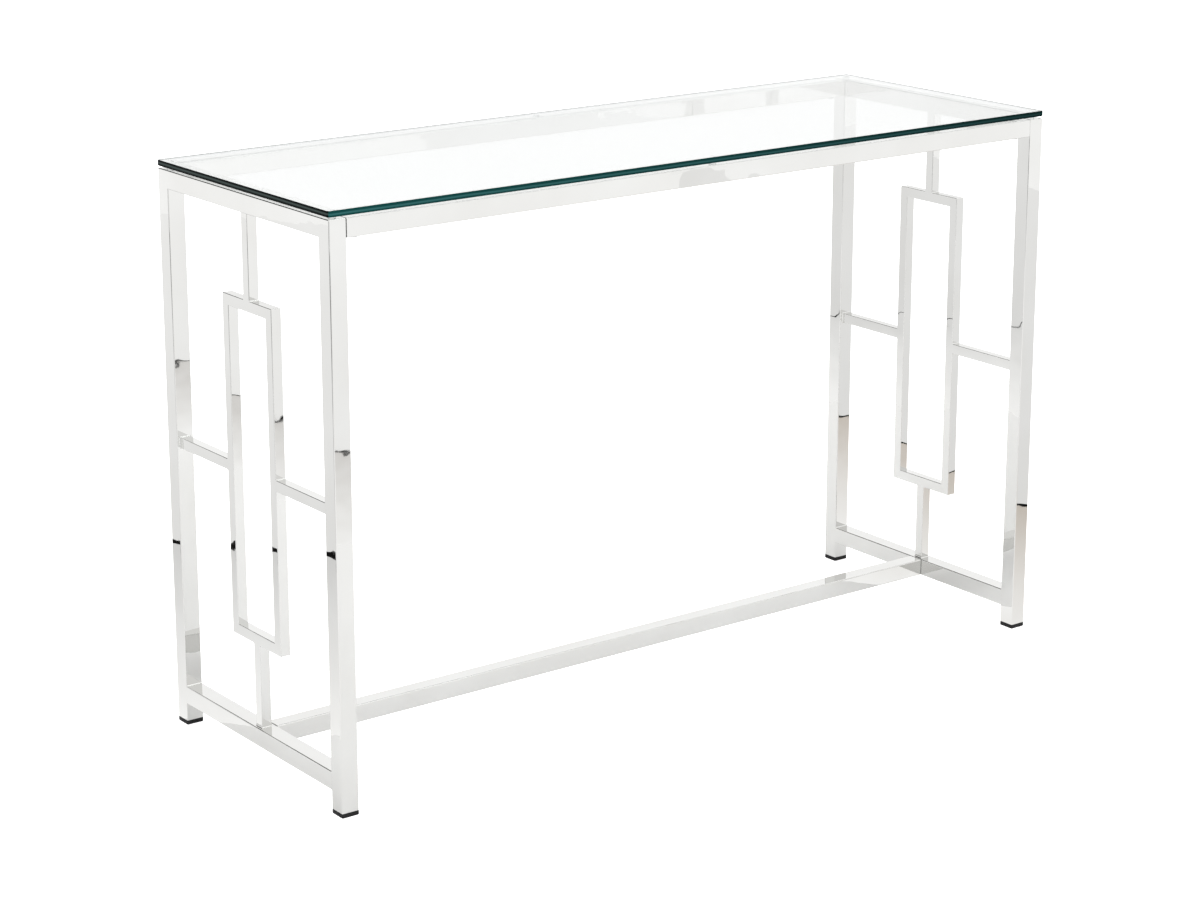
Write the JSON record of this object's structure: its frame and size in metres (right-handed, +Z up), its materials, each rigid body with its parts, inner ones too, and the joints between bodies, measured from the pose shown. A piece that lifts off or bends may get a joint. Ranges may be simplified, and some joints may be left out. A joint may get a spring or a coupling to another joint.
{
  "type": "console table",
  "caption": "Long narrow console table: polished square-tube frame, a framed upright panel in each end, one centre stretcher and a clear glass top.",
  "frame": {"origin": "on the floor, under the middle of the table", "axes": "+X along the table's length, +Y from its front to its back, +Z up"},
  "size_m": [1.2, 0.425, 0.78],
  "materials": {
    "chrome": "polished mirror-bright chrome plate on steel tube",
    "glass": "clear float glass, polished edges that look dark teal",
    "black_plastic": "moulded, fine grain",
    "clear_plastic": "clear soft bumper",
    "zinc_steel": "zinc plated"
  },
  "bodies": {
    "root": {"back_rail": "chrome", "back_rail_left_screw": "zinc_steel", "back_rail_left_spigot": "zinc_steel", "back_rail_right_screw": "zinc_steel", "back_rail_right_spigot": "zinc_steel", "bumper_left_back": "clear_plastic", "bumper_left_front": "clear_plastic", "bumper_middle_back": "clear_plastic", "bumper_middle_front": "clear_plastic", "bumper_right_back": "clear_plastic", "bumper_right_front": "clear_plastic", "front_rail": "chrome", "front_rail_left_screw": "zinc_steel", "front_rail_left_spigot": "zinc_steel", "front_rail_right_screw": "zinc_steel", "front_rail_right_spigot": "zinc_steel", "glass_top": "glass", "left_back_glide": "black_plastic", "left_back_post": "chrome", "left_back_rod": "chrome", "left_bottom_rail": "chrome", "left_front_glide": "black_plastic", "left_front_post": "chrome", "left_front_rod": "chrome", "left_lower_rod": "chrome", "left_panel_back_bar": "chrome", "left_panel_bottom_bar": "chrome", "left_panel_front_bar": "chrome", "left_panel_top_bar": "chrome", "left_top_rail": "chrome", "left_upper_rod": "chrome", "right_back_glide": "black_plastic", "right_back_post": "chrome", "right_back_rod": "chrome", "right_bottom_rail": "chrome", "right_front_glide": "black_plastic", "right_front_post": "chrome", "right_front_rod": "chrome", "right_lower_rod": "chrome", "right_panel_back_bar": "chrome", "right_panel_bottom_bar": "chrome", "right_panel_front_bar": "chrome", "right_panel_top_bar": "chrome", "right_top_rail": "chrome", "right_upper_rod": "chrome", "stretcher": "chrome", "stretcher_left_screw": "zinc_steel", "stretcher_left_spigot": "zinc_steel", "stretcher_right_screw": "zinc_steel", "stretcher_right_spigot": "zinc_steel"}
  },
  "joints": []
}
